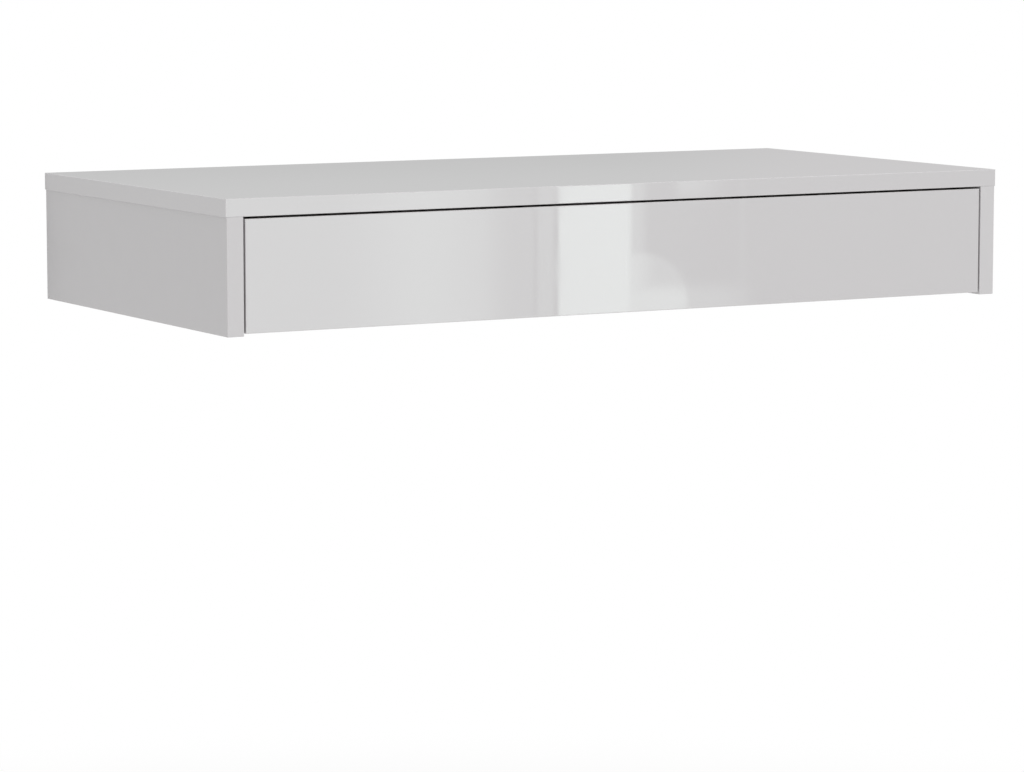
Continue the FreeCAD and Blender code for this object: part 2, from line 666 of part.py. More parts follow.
def drawer_bottom():
    """Thin bottom, resting in the grooves and screwed up into the back."""
    half = BOX_INNER + GROOVE_DEPTH - GROOVE_PLAY
    board = block((-half, half), (FRONT_BACK - GROOVE_DEPTH + GROOVE_PLAY, BOX_REAR),
                  (GROOVE_FLOOR, BACK_FOOT))
    return board.cut([pan_hole(BOTTOM_SCREW, point, UP) for point in BOTTOM_SCREW_POINTS])


def drawer_bottom_screws():
    """Screws up through the bottom into the back."""
    return [pan_screw(BOTTOM_SCREW, point, UP) for point in BOTTOM_SCREW_POINTS]


def drawer_runner_screws():
    """Screws up through the drawer runners' legs."""
    return both_sides([pan_screw(LEG_SCREW, point, UP) for point in LEG_SCREW_POINTS])


def carcass_runner_screws():
    """Flush screws that hold the carcass runners to the side boards."""
    return both_sides([sunk_screw(RUNNER_SCREW, point, RIGHT) for point in RUNNER_SCREW_POINTS])


def drawer_back_screws():
    """Screws through the drawer sides into the ends of the back."""
    return both_sides([sunk_screw(BACK_SCREW, point, LEFT) for point in BACK_SCREW_POINTS])


def drawer_dowels():
    """Dowels between the drawer front and the drawer sides."""
    return both_sides([dowel(DRAWER_DOWEL_RADIUS, joint, TO_ROOM) for joint in FRONT_DOWEL_JOINTS])


def drawer_cam_locks():
    """Cams in the drawer sides."""
    return both_sides([cam_lock(FRONT_CAM, TO_ROOM, LEFT, DRAWER_BOARD, DRAWER_CAM_RADIUS)])


def drawer_cam_bolts():
    """Bolts in the drawer front that the drawer cams pull."""
    return both_sides([cam_bolt(FRONT_CAM, TO_ROOM)])


def handed(name, right_shape):
    """A right-hand piece and its left-hand copy under their node names."""
    return {"right_" + name: right_shape, "left_" + name: mirrored(right_shape)}


def shelf():
    """All pieces of the shelf by node name, with the drawer closed."""
    right_drawer_side = drawer_right_side()
    pieces = {
        "top_panel": top_panel(),
        "top_edge_bands": Part.makeCompound(top_edge_bands()),
        "side_edge_bands": Part.makeCompound(side_edge_bands()),
        "wall_rail": wall_rail(),
        "carcass_cam_locks": Part.makeCompound(carcass_cam_locks()),
        "carcass_cam_bolts": Part.makeCompound(carcass_cam_bolts()),
        "carcass_dowels": Part.makeCompound(carcass_dowels()),
        "carcass_runner_screws": Part.makeCompound(carcass_runner_screws()),
        "front_roller_pins": Part.makeCompound(both_sides([roller_pin(FRONT_PIN, LEFT)])),
        "drawer_front": drawer_front(),
        "drawer_front_edge_bands": Part.makeCompound(drawer_front_edge_bands()),
        "drawer_right_side": right_drawer_side,
        "drawer_left_side": mirrored(right_drawer_side),
        "drawer_back": drawer_back(),
        "drawer_bottom": drawer_bottom(),
        "drawer_cam_locks": Part.makeCompound(drawer_cam_locks()),
        "drawer_cam_bolts": Part.makeCompound(drawer_cam_bolts()),
        "drawer_dowels": Part.makeCompound(drawer_dowels()),
        "drawer_back_screws": Part.makeCompound(drawer_back_screws()),
        "drawer_bottom_screws": Part.makeCompound(drawer_bottom_screws()),
        "drawer_runner_screws": Part.makeCompound(drawer_runner_screws()),
        "rear_roller_pins": Part.makeCompound(both_sides([roller_pin(REAR_PIN, RIGHT)])),
    }
    pieces.update(handed("side_panel", right_side_panel()))
    pieces.update(handed("carcass_runner", right_carcass_runner()))
    pieces.update(handed("drawer_runner", right_drawer_runner()))
    pieces.update(handed("front_roller", roller(FRONT_PIN, LEFT)))
    pieces.update(handed("rear_roller", roller(REAR_PIN, RIGHT)))
    return pieces


os.makedirs("parts", exist_ok=True)
for node, shape in shelf().items():
    shape.exportStep("parts/" + node + ".step")
    print(node, len(shape.Solids), "solids", round(shape.Volume), "mm3", "valid", shape.isValid())
print("drawer travel", TRAVEL)
print("front roller axis", FRONT_ROLLER_Y, FRONT_ROLLER_Z, "rear roller axis", REAR_ROLLER_Y, REAR_ROLLER_Z)
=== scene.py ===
import math
from collections import namedtuple

import bpy
from mathutils import Matrix, Vector


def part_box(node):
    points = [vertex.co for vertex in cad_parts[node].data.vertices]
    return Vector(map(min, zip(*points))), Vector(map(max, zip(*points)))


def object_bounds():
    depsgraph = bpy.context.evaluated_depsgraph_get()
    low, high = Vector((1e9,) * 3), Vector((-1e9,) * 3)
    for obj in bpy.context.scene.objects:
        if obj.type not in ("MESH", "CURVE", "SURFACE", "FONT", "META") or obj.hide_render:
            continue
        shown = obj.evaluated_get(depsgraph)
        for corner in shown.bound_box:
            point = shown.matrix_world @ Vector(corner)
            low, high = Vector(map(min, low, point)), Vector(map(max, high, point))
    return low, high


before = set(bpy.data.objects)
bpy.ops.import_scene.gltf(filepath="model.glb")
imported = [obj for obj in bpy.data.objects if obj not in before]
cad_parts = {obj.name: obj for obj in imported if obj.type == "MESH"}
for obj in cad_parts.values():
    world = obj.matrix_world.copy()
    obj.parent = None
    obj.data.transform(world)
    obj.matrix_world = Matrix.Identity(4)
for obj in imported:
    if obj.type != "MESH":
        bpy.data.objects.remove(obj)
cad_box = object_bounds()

MM = 0.001
MICRON = 1e-6

LEFT, RIGHT = (-1, 0, 0), (1, 0, 0)
FRONT, BACK = (0, -1, 0), (0, 1, 0)
DOWN, UP = (0, 0, -1), (0, 0, 1)

# The photograph's frame, and the view that its corners give
PHOTO_WIDTH = 1024
PHOTO_HEIGHT = 772
FOCAL_PIXELS = 3951.6
SENSOR_WIDTH_MM = 36.0
CAMERA_PLACE = Vector((-1.8581, -3.4791, 0.3026))
CAMERA_HEADING = math.radians(29.373)
CAMERA_DROP = math.radians(6.797)

# Colours, linear
WHITE = (1.0, 1.0, 1.0)
GLOSS_SHELL = (0.600, 0.588, 0.594)
SATIN_SHELL = (0.578, 0.566, 0.572)
WORN_SHELL = (0.720, 0.710, 0.710)
GLUE = (0.420, 0.385, 0.345)
BACKING = (0.640, 0.632, 0.624)
FOIL = (0.560, 0.553, 0.545)
CHIP_DARK = (0.340, 0.235, 0.140)
CHIP_LIGHT = (0.640, 0.500, 0.335)
# Painted shade inside the pits of the chipboard core
PAINTED_PIT_SHADE = (0.110, 0.070, 0.040)
FIBRE = (0.190, 0.098, 0.046)
EPOXY = (0.660, 0.652, 0.632)
NYLON = (0.680, 0.672, 0.640)
ZINC = (0.520, 0.525, 0.535)
PLATING = (0.460, 0.455, 0.440)
BEECH_DARK = (0.400, 0.235, 0.115)
BEECH_LIGHT = (0.560, 0.370, 0.205)

# In the finishes, a grain or cloud is the length of noise features, a span is the stretch of noise
# values over which a change takes place, a spread is how far a colour strays to both sides,
# a share is how much of a second colour goes over the first, and a shade is the factor that
# darkens a colour

# Noise detail, from slow waves to dust
SMOOTH = 1.0
SOFT = 2.0
FINE = 3.0
FINEST = 4.0
MIDDLE_SPAN = (0.3, 0.7)
BROAD_SPAN = (0.2, 0.8)

# Noise that makes the borders of cells ragged: its scale per cell, and its reach in cells
RAGGED_SCALE = 1.7
RAGGED_REACH = (0.9, 0.9, 0.9)

# Cosines of the angle between a surface and a way, from not facing it to facing it
FACING_SPAN = (0.70, 0.80)

# Shell of the boards, worn along their edges, and the glue line under their bands
SHELL_CLOUD = 160 * MM
SHELL_SPREAD = 0.008
BACKING_SPREAD = 0.01
WORN_GRAIN = 6 * MM
WORN_REACH = 1.8 * MM
WORN_CREST = 0.45 * MM
WORN_SHARE = 0.25
WORN_ROUGHNESS = 0.05
BAND_THICKNESS = 1.0 * MM
GLUE_LINE = 0.12 * MM
GLUE_SHARE = 0.5

# Mirror lacquer: slow waves and orange peel, each by its length and height
LACQUER_CLOUD = 45 * MM
LACQUER_ROUGHNESS = (0.014, 0.026)
LACQUER_WAVE = (70 * MM, 2.2 * MICRON)
LACQUER_PEEL = (3 * MM, 0.05 * MICRON)

# Satin melamine: a pearl texture by its length and height
MELAMINE_CLOUD = 25 * MM
MELAMINE_ROUGHNESS = (0.36, 0.42)
MELAMINE_PEARL = (0.7 * MM, 5 * MICRON)

# Sawn chipboard: chips by their length and height, and the depths between which the fine chips
# # of the face turn into the coarse ones of the core; pits in the core are sunk and get painted shade
CORE_CHIP = (4.5 * MM, 1.0 * MM)
FACE_CHIP = (1.6 * MM, 0.5 * MM)
FACE_LAYER = (1.8 * MM, 3.2 * MM)
CHIP_SPAN = (0.1, 1.3)
CHIP_DUST = 0.8 * MM
CHIP_DUST_SHARE = 0.7
CHIP_HOLE_GRAIN = 2.4 * MM
CHIP_HOLE_SPAN = (0.62, 0.72)
CHIP_RELIEF = 0.25 * MM
CHIP_ROUGHNESS = 0.85

# Linen-pressed foil: threads by their thickness and length
FOIL_THREAD = (0.6 * MM, 9 * MM)
FOIL_SPAN = (0.1, 0.4)
FOIL_SPREAD = 0.035
FOIL_WORN_SHARE = 0.3
FOIL_CLOUD = 18 * MM
FOIL_ROUGHNESS = (0.44, 0.52)
FOIL_RELIEF = 18 * MICRON

# Hardboard: fibre, the press screen's mark in it, and paint
FIBRE_GRAIN = (5 * MM, 1.2 * MM, 1.2 * MM)
FIBRE_SPREAD = 0.55
FIBRE_ROUGHNESS = (0.70, 0.85)
FIBRE_RELIEF = 60 * MICRON
SCREEN_PITCH = 1.6 * MM
SCREEN_SHARE = 0.35
SCREEN_SHADE = 0.5
SCREEN_RELIEF = 120 * MICRON
PAINT_GRAIN = (40 * MM, 1.5 * MM, 1 * MM)
PAINT_SPREAD = 0.025
PAINT_ROUGHNESS = (0.38, 0.48)
PAINT_RELIEF = 6 * MICRON

# Powder coat, rubbed along the runner
EPOXY_CLOUD = 30 * MM
EPOXY_SPREAD = 0.02
EPOXY_GRAIN = 1.4 * MM
EPOXY_ROUGHNESS = (0.30, 0.42)
EPOXY_RELIEF = 14 * MICRON
RUBBED_GRAIN = (4 * MM, 90 * MM, 4 * MM)
RUBBED_SPAN = (0.55, 0.72)
RUBBED_SHARE = 0.18
RUBBED_SHADE = 0.72

# Moulded nylon, scuffed round the roller, and how far each colour of light sinks in
SCUFF_GRAIN = (0.5 * MM, 5 * MM, 5 * MM)
SCUFF_SPAN = (0.5, 0.75)
SCUFF_SHARE = 0.25
SCUFF_SHADE = 0.7
NYLON_ROUGHNESS = (0.34, 0.55)
NYLON_GRAIN = 0.9 * MM
NYLON_RELIEF = 10 * MICRON
NYLON_GLOW = 0.15
NYLON_SINK = (2.0 * MM, 2.0 * MM, 1.5 * MM)

# Metals, and tarnish that varies their roughness between two factors
Metal = namedtuple("Metal", "colour roughness grain")
CAST_ZINC = Metal(ZINC, 0.42, 0.8 * MM)
BOLT_STEEL = Metal(PLATING, 0.30, 0.5 * MM)
SCREW_STEEL = Metal(PLATING, 0.28, 0.5 * MM)
TARNISH_CLOUD = 5 * MM
TARNISH_SPREAD = 0.16
TARNISH_SPAN = (0.25, 0.75)
TARNISH_ROUGHNESS = (0.8, 1.25)
METAL_RELIEF = 16 * MICRON

# Raw beech, and its dark rays
BEECH_GRAIN = 0.8 * MM
BEECH_ROUGHNESS = (0.6, 0.75)
BEECH_RELIEF = 60 * MICRON
RAY_GRAIN = (0.9 * MM, 0.9 * MM, 3 * MM)
RAY_SPAN = (0.3, 0.0)
RAY_SHARE = 0.4
RAY_SHADE = 0.7

# Studio, in metres
FLOOR_DROP = 0.95
FLOOR_LEVEL = cad_box[0].z - FLOOR_DROP
FLOOR_COLOUR = (0.90, 0.90, 0.90)
FLOOR_REACH = 80.0
FLOOR_FADE = (0.8, 2.4)
AMBIENT = 0.75
LAMP_SIZE = 2.0
# Each lamp's place and power in watts
LAMPS = {
    "key_lamp": ((0.2, -3.0, 2.0), 40.0),
    "top_lamp": ((-0.6, 0.4, 3.2), 15.0),
}

# Strips of white wall beside the shelf's rear, unseen, that dim its ends there as a wall does
REAR_WALL_WIDTH = 0.05
REAR_WALL_COLOUR = (0.85, 0.85, 0.85)

# What the polished faces mirror: grey walls all round, lit by headings that count from the
# shelf's back towards its right
WALL_DISTANCE = 6.5
WALL_TOP = 4.8
WALL_FACE_DEGREES = 5
WALL_TINT = (0.99, 1.00, 0.995)
WALL_LIGHT = 0.53
WALL_RIGHT_TINT = (1.00, 0.985, 0.992)
WALL_RIGHT_LIGHT = 0.057
WALL_RIGHT = (math.radians(32), math.radians(38))
# Left of there the walls get lighter between two heights, which sink by the slope per radian
WALL_RISE = (0.560, 0.635)
WALL_RISE_SLOPE = 0.218
WALL_RISE_LIGHT = 0.031
WALL_LEFT_LIGHT = 0.13
WALL_LEFT = (math.radians(10), math.radians(-20))
WALL_FAR_LEFT_LIGHT = 0.24
WALL_FAR_LEFT = (math.radians(-24.5), math.radians(-29.5))
WALL_REAR = (math.radians(150), math.radians(90))
# Soft windows in the walls: how many, the share of each place that is glass and its soft rim,
# the heights between which they set in and end, and the light they add
WINDOW_COUNT = 24
WINDOW_SHARE = 0.36
WINDOW_SOFTNESS = 0.08
WINDOW_SILL = (0.95, 1.60)
WINDOW_HEAD = (4.40, 3.60)
WINDOW_LIGHT = 0.70

# A card before the front, laid out in columns of the photograph
CARD_TINT = (0.90, 1.00, 0.955)
CARD_DISTANCE = 9.0
CARD_COLUMNS = (60.0, 1180.0)
CARD_HEIGHTS = (-0.95, 0.0)
CARD_LIGHT = 0.20
# Strips of the card, in columns of the photograph: where each starts and over how many columns
# it rises on either side, where it ends and over how many it falls, the light it adds, and for
# some the rows above the disc's middle between which it sets in
Strip = namedtuple("Strip", "start rise end fall light rows", defaults=[None])
STRIPS = {
    "left_field": Strip(90.0, 16.0, 497.0, 16.0, 1.86),
    "left_crest": Strip(378.0, 55.0, 462.0, 50.0, 0.87),
    "left_fall": Strip(498.0, 12.0, 533.5, 1.5, 0.88),
    "thin_band": Strip(537.5, 1.5, 553.5, 1.5, 1.33),
    "bright_band": Strip(558.5, 1.5, 631.5, 3.5, 4.66),
    "bright_fade": Strip(633.0, 3.0, 644.0, 7.0, 1.60),
    "right_haze": Strip(640.0, 30.0, 690.0, 40.0, 0.30),
    "right_line": Strip(740.0, 2.0, 744.0, 2.0, 0.45),
    "low_haze": Strip(684.0, 4.0, 742.0, 22.0, 1.20, (24.0, 4.0)),
    "high_patch": Strip(677.0, 4.0, 712.0, 22.0, 1.42, (92.0, 116.0)),
}
# A soft disc on the card, whose light rises between two rows above its middle, and between two
# columns towards its left
DISC_COLUMN = 640.0
DISC_ROW = 300.0
DISC_PIXELS = 48.0
DISC_SOFTNESS = 3.5
DISC_RISE = (22.0, 4.0)
DISC_LIGHT = (1.65, 3.70)
DISC_LEFT = (660.0, 632.0)
DISC_LEFT_LIGHT = (1.65, 3.40)

# Kinds of rays that can meet a stage object
RAYS = ("camera", "diffuse", "glossy", "transmission", "volume_scatter", "shadow")

# Sockets of a Mix node for each kind of value: its two inputs and its output
MIX_SOCKETS = {"FLOAT": (2, 3, 0), "VECTOR": (4, 5, 1), "RGBA": (6, 7, 2)}


class Look:
    """A node tree in the making: each method adds a node and gives its output."""

    def __init__(self, owner):
        owner.use_nodes = True
        self.tree = owner.node_tree
        self.place = self.node("TexCoord", output="Object")
        self.normal = self.node("NewGeometry", output="Normal")

    def node(self, kind, inputs=None, output=0, **settings):
        made = self.tree.nodes.new("ShaderNode" + kind)
        for name, value in settings.items():
            setattr(made, name, value)
        for name, value in (inputs or {}).items():
            self.plug(made.inputs[name], value)
        return made.outputs[output]

    def plug(self, socket, value):
        if isinstance(value, bpy.types.NodeSocket):
            self.tree.links.new(value, socket)
        elif socket.type == "RGBA":
            socket.default_value = (*value, 1.0)
        else:
            socket.default_value = value

    def math(self, operation, *values):
        return self.node("Math", dict(enumerate(values)), operation=operation)

    def vector(self, operation, *values, output=0):
        return self.node("VectorMath", dict(enumerate(values)), output, operation=operation)

    def axes(self, vector):
        split = self.tree.nodes.new("ShaderNodeSeparateXYZ")
        self.plug(split.inputs[0], vector)
        return split.outputs

    def distance(self, across, along):
        """Straight length of two offsets at right angles."""
        squares = [self.math("MULTIPLY", way, way) for way in (across, along)]
        return self.math("SQRT", self.math("ADD", *squares))

    def step(self, value, start, end, low=0.0, high=1.0):
        """Smooth change from low to high while the value goes from start to end."""
        span = {"Value": value, "From Min": start, "From Max": end, "To Min": low, "To Max": high}
        return self.node("MapRange", span, interpolation_type="SMOOTHSTEP")

    def most(self, values):
        """The largest of several masks."""
        largest = values[0]
        for value in values[1:]:
            largest = self.math("MAXIMUM", largest, value)
        return largest

    def blend(self, kind, share, first, second):
        """The second value over the first, by its share."""
        start, end, output = MIX_SOCKETS[kind]
        return self.node("Mix", {0: share, start: first, end: second}, output, data_type=kind)

    def mix(self, share, first, second):
        return self.blend("RGBA", share, first, second)

    def mix_number(self, share, first, second):
        return self.blend("FLOAT", share, first, second)

    def mix_normal(self, share, first, second):
        return self.blend("VECTOR", share, first, second)

    def cover(self, mask, share, under, over):
        """The over colour where the mask is 1, as thick as its share."""
        return self.mix(self.math("MULTIPLY", mask, share), under, over)

    def tint(self, colour, spread, share):
        """The colour, darker and lighter by the spread as the share goes from 0 to 1."""
        return self.mix(share, scaled(colour, 1 - spread), scaled(colour, 1 + spread))

    def noise(self, grain, detail=SOFT):
        """Random cloud around 0.5, with features as long as the grain along each axis."""
        grain = grain if isinstance(grain, tuple) else (grain,) * 3
        vector = self.vector("DIVIDE", self.place, grain)
        return self.node("TexNoise", {"Vector": vector, "Scale": 1.0, "Detail": detail})

    def cells(self, grain, output="Distance"):
        """Random cells as long as the grain along each axis, with ragged borders."""
        vector = self.vector("DIVIDE", self.place, grain)
        ragged = self.node("TexNoise", {"Vector": vector, "Scale": RAGGED_SCALE, "Detail": FINE}, "Color")
        vector = self.vector("MULTIPLY_ADD", ragged, RAGGED_REACH, vector)
        return self.node("TexVoronoi", {"Vector": vector, "Scale": 1.0}, output)

    def wave(self, axis, pitch):
        """Wave between 0 and 1 along an axis."""
        turn = self.math("MULTIPLY", self.axes(self.place)[axis], 2 * math.pi / pitch)
        return self.math("MULTIPLY_ADD", self.math("SINE", turn), 0.5, 0.5)

    def facing(self, direction):
        """1 where the surface faces this way, 0 elsewhere."""
        along = self.vector("DOT_PRODUCT", self.normal, direction, output="Value")
        return self.step(along, *FACING_SPAN)

    def bump(self, height, depth, onto=None):
        relief = {"Height": height, "Distance": depth, "Strength": 1.0}
        if onto:
            relief["Normal"] = onto
        return self.node("Bump", relief)


def scaled(colour, factor):
    return tuple(channel * factor for channel in colour)


def finish(look, **inputs):
    """Plugs colour, roughness and relief into a look's shader."""
    shader = look.tree.nodes["Principled BSDF"]
    for name, value in inputs.items():
        look.plug(shader.inputs[name.replace("_", " ")], value)


def node_look(node):
    """A new material for one CAD node, in its slot."""
    material = bpy.data.materials.new(node + "_finish")
    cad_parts[node].material_slots[0].material = material
    return Look(material)


# Parts of finishes


def edge_distance(look, node):
    """Distance from the nearest edge of the node's box, on any of its faces."""
    low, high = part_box(node)
    from_middle = look.vector("SUBTRACT", look.place, (low + high) / 2)
    inward = look.vector("SUBTRACT", (high - low) / 2, look.vector("ABSOLUTE", from_middle))
    x, y, z = look.axes(inward)
    nearer = look.math("MINIMUM", x, y)
    farther = look.math("MAXIMUM", x, y)
    return look.math("MAXIMUM", nearer, look.math("MINIMUM", farther, z))


def worn_edges(look, node):
    """1 along the edges of the node's box, ragged and fading inward."""
    ragged = look.math("MULTIPLY", look.noise(WORN_GRAIN), WORN_REACH)
    depth = look.math("ADD", edge_distance(look, node), ragged)
    return look.step(depth, WORN_REACH, WORN_CREST)


def worn_shell(look, node, face, rough):
    """Colour and roughness of a shell that is paler and duller along its edges."""
    edges = worn_edges(look, node)
    face = look.cover(edges, WORN_SHARE, face, WORN_SHELL)
    return face, look.math("MULTIPLY_ADD", edges, WORN_ROUGHNESS, rough)


def lacquer(look):
    """Roughness and relief of a mirror lacquer: slow waves and a trace of orange peel."""
    polish = look.step(look.noise(LACQUER_CLOUD), *MIDDLE_SPAN, *LACQUER_ROUGHNESS)
    relief = None
    for length, height in (LACQUER_WAVE, LACQUER_PEEL):
        relief = look.bump(look.noise(length, SMOOTH), height, relief)
    return polish, relief


def melamine(look):
    """Roughness and relief of a satin face with a fine pearl texture."""
    rough = look.step(look.noise(MELAMINE_CLOUD), *MIDDLE_SPAN, *MELAMINE_ROUGHNESS)
    length, height = MELAMINE_PEARL
    return rough, look.bump(look.noise(length, FINE), height)


def chipboard(look, node):
    """Colour and relief of a sawn edge: coarse chips in the core, fine ones by the faces, and sunk pits
    in the core filled with painted shade.
    """
    low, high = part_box(node)
    size = high - low
    across = min(range(3), key=lambda axis: size[axis])
    from_middle = look.math("SUBTRACT", look.axes(look.place)[across], (low[across] + high[across]) / 2)
    depth = look.math("SUBTRACT", size[across] / 2, look.math("ABSOLUTE", from_middle))
    core = look.step(depth, *FACE_LAYER)
    shades = []
    for length, height in (FACE_CHIP, CORE_CHIP):
        grain = [length] * 3
        grain[across] = height
        shades.append(look.axes(look.cells(tuple(grain), "Color"))[0])
    dust = look.noise(CHIP_DUST, FINEST)
    shade = look.math("MULTIPLY_ADD", dust, CHIP_DUST_SHARE, look.mix_number(core, *shades))
    chips = look.mix(look.step(shade, *CHIP_SPAN), CHIP_DARK, CHIP_LIGHT)
    # Pits in the core: sunk into the relief, and coloured with painted shade for the shade inside them
    pit_and_shade = look.math("MULTIPLY", look.step(look.noise(CHIP_HOLE_GRAIN), *CHIP_HOLE_SPAN), core)
    relief = look.math("SUBTRACT", shade, pit_and_shade)
    return look.mix(pit_and_shade, chips, PAINTED_PIT_SHADE), look.bump(relief, CHIP_RELIEF)


def finish_board(look, node, raw_sides, face, rough, relief):
    """Plugs in a board's face, with sawn chipboard on the raw sides."""
    raw = look.most([look.facing(side) for side in raw_sides])
    chips, splinters = chipboard(look, node)
    finish(
        look,
        Base_Color=look.mix(raw, face, chips),
        Roughness=look.mix_number(raw, rough, CHIP_ROUGHNESS),
        Normal=look.mix_normal(raw, relief, splinters),
    )


def depth_below(look, node, side):
    """Depth under one side of the node's box, given as its outward direction."""
    low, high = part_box(node)
    outward = Vector(side)
    corner = Vector(last if way > 0 else first for first, last, way in zip(low, high, outward))
    offset = look.vector("SUBTRACT", corner, look.place)
    return look.vector("DOT_PRODUCT", offset, outward, output="Value")


# One function per finish


def board_finish(node, raw_sides, gloss_side=None):
    """Faced chipboard: satin, or mirror lacquer on its gloss side, and sawn on the raw sides."""
    look = node_look(node)
    cloud = look.noise(SHELL_CLOUD)
    face = look.tint(SATIN_SHELL, SHELL_SPREAD, cloud)
    rough, relief = melamine(look)
    if gloss_side:
        gloss = look.facing(gloss_side)
        polish, ripple = lacquer(look)
        backing = look.tint(BACKING, BACKING_SPREAD, cloud)
        face = look.mix(gloss, backing, look.tint(GLOSS_SHELL, SHELL_SPREAD, cloud))
        rough = look.mix_number(gloss, rough, polish)
        relief = look.mix_normal(gloss, relief, ripple)
    face, rough = worn_shell(look, node, face, rough)
    finish_board(look, node, raw_sides, face, rough, relief)


def band_finish(node, banded_sides, colour, coat):
    """Edge band in the board's colour, with the glue line where it meets the board."""
    look = node_look(node)
    depth = depth_below(look, node, banded_sides[0])
    for side in banded_sides[1:]:
        depth = look.math("MINIMUM", depth, depth_below(look, node, side))
    glue_depth = BAND_THICKNESS - GLUE_LINE
    seam = look.step(depth, glue_depth - GLUE_LINE / 2, glue_depth + GLUE_LINE / 2)
    rough, relief = coat(look)
    face = look.tint(colour, SHELL_SPREAD, look.noise(SHELL_CLOUD))
    face, rough = worn_shell(look, node, face, rough)
    finish(look, Base_Color=look.cover(seam, GLUE_SHARE, face, GLUE), Roughness=rough, Normal=relief)


def foil_finish(node, raw_sides):
    """Drawer board wrapped in linen-pressed foil, sawn at its ends."""
    look = node_look(node)
    thick, long = FOIL_THREAD
    weave = look.math("MULTIPLY", look.noise((thick, thick, long)), look.noise((long, long, thick)))
    face = look.tint(FOIL, FOIL_SPREAD, look.step(weave, *FOIL_SPAN))
    face = look.cover(worn_edges(look, node), FOIL_WORN_SHARE, face, BACKING)
    rough = look.step(look.noise(FOIL_CLOUD), *MIDDLE_SPAN, *FOIL_ROUGHNESS)
    finish_board(look, node, raw_sides, face, rough, look.bump(weave, FOIL_RELIEF))


def hardboard_finish(node):
    """Hardboard: painted above, brown fibre with the mark of the press screen below."""
    look = node_look(node)
    painted = look.facing(UP)
    fibre = look.noise(FIBRE_GRAIN, FINEST)
    screen = look.math("MULTIPLY", look.wave(0, SCREEN_PITCH), look.wave(1, SCREEN_PITCH))
    brown = look.tint(FIBRE, FIBRE_SPREAD, fibre)
    brown = look.cover(screen, SCREEN_SHARE, brown, scaled(FIBRE, SCREEN_SHADE))
    paint = look.tint(FOIL, PAINT_SPREAD, look.noise(PAINT_GRAIN, FINE))
    pressed = look.bump(screen, SCREEN_RELIEF, look.bump(fibre, FIBRE_RELIEF))
    fibre_rough = look.step(fibre, *BROAD_SPAN, *FIBRE_ROUGHNESS)
    paint_rough = look.step(fibre, *BROAD_SPAN, *PAINT_ROUGHNESS)
    finish(
        look,
        Base_Color=look.mix(painted, brown, paint),
        Roughness=look.mix_number(painted, fibre_rough, paint_rough),
        Normal=look.mix_normal(painted, pressed, look.bump(fibre, PAINT_RELIEF)),
    )


def epoxy_finish(node):
    """White powder coat on folded sheet steel, rubbed where the roller runs."""
    look = node_look(node)
    grain = look.noise(EPOXY_GRAIN)
    rubbed = look.step(look.noise(RUBBED_GRAIN, FINE), *RUBBED_SPAN)
    coat = look.tint(EPOXY, EPOXY_SPREAD, look.noise(EPOXY_CLOUD))
    finish(
        look,
        Base_Color=look.cover(rubbed, RUBBED_SHARE, coat, scaled(EPOXY, RUBBED_SHADE)),
        Roughness=look.step(grain, *MIDDLE_SPAN, *EPOXY_ROUGHNESS),
        Normal=look.bump(grain, EPOXY_RELIEF),
    )


def nylon_finish(node):
    """Moulded roller, a little see-through, with faint scuffs round its tread."""
    look = node_look(node)
    scuff = look.step(look.noise(SCUFF_GRAIN, FINE), *SCUFF_SPAN)
    finish(
        look,
        Base_Color=look.cover(scuff, SCUFF_SHARE, NYLON, scaled(NYLON, SCUFF_SHADE)),
        Roughness=look.step(scuff, 0.0, 1.0, *NYLON_ROUGHNESS),
        Normal=look.bump(look.noise(NYLON_GRAIN), NYLON_RELIEF),
        Subsurface_Weight=NYLON_GLOW,
        Subsurface_Radius=NYLON_SINK,
    )


def metal_finish(node, metal):
    """Bare or plated metal, with tarnish in clouds and a fine cast or rolled grain."""
    look = node_look(node)
    tarnish = look.noise(TARNISH_CLOUD, FINE)
    roughness = [metal.roughness * factor for factor in TARNISH_ROUGHNESS]
    finish(
        look,
        Base_Color=look.tint(metal.colour, TARNISH_SPREAD, tarnish),
        Roughness=look.step(tarnish, *TARNISH_SPAN, *roughness),
        Normal=look.bump(look.noise(metal.grain, FINE), METAL_RELIEF),
        Metallic=1.0,
    )


def beech_finish(node):
    """Beech pin: fine grain with short dark rays."""
    look = node_look(node)
    grain = look.noise(BEECH_GRAIN, FINEST)
    rays = look.step(look.cells(RAY_GRAIN), *RAY_SPAN)
    wood = look.mix(grain, BEECH_DARK, BEECH_LIGHT)
    finish(
        look,
        Base_Color=look.cover(rays, RAY_SHARE, wood, scaled(BEECH_DARK, RAY_SHADE)),
        Roughness=look.step(grain, *BROAD_SPAN, *BEECH_ROUGHNESS),
        Normal=look.bump(grain, BEECH_RELIEF),
    )


board_finish("top_panel", [LEFT, RIGHT, FRONT, BACK], gloss_side=UP)
board_finish("drawer_front", [LEFT, RIGHT, DOWN, UP], gloss_side=FRONT)
board_finish("left_side_panel", [FRONT, BACK, DOWN, UP])
board_finish("right_side_panel", [FRONT, BACK, DOWN, UP])
board_finish("wall_rail", [LEFT, RIGHT, DOWN, UP])
band_finish("top_edge_bands", [LEFT, RIGHT, FRONT], GLOSS_SHELL, lacquer)
band_finish("drawer_front_edge_bands", [LEFT, RIGHT, DOWN, UP], GLOSS_SHELL, lacquer)
band_finish("side_edge_bands", [FRONT, DOWN], SATIN_SHELL, melamine)
for side in ("left", "right"):
    foil_finish(f"drawer_{side}_side", [FRONT, BACK])
    epoxy_finish(f"{side}_carcass_runner")
    epoxy_finish(f"{side}_drawer_runner")
    nylon_finish(f"{side}_front_roller")
    nylon_finish(f"{side}_rear_roller")
foil_finish("drawer_back", [LEFT, RIGHT])
hardboard_finish("drawer_bottom")
for body in ("carcass", "drawer"):
    metal_finish(f"{body}_cam_locks", CAST_ZINC)
    metal_finish(f"{body}_cam_bolts", BOLT_STEEL)
    metal_finish(f"{body}_runner_screws", SCREW_STEEL)
    beech_finish(f"{body}_dowels")
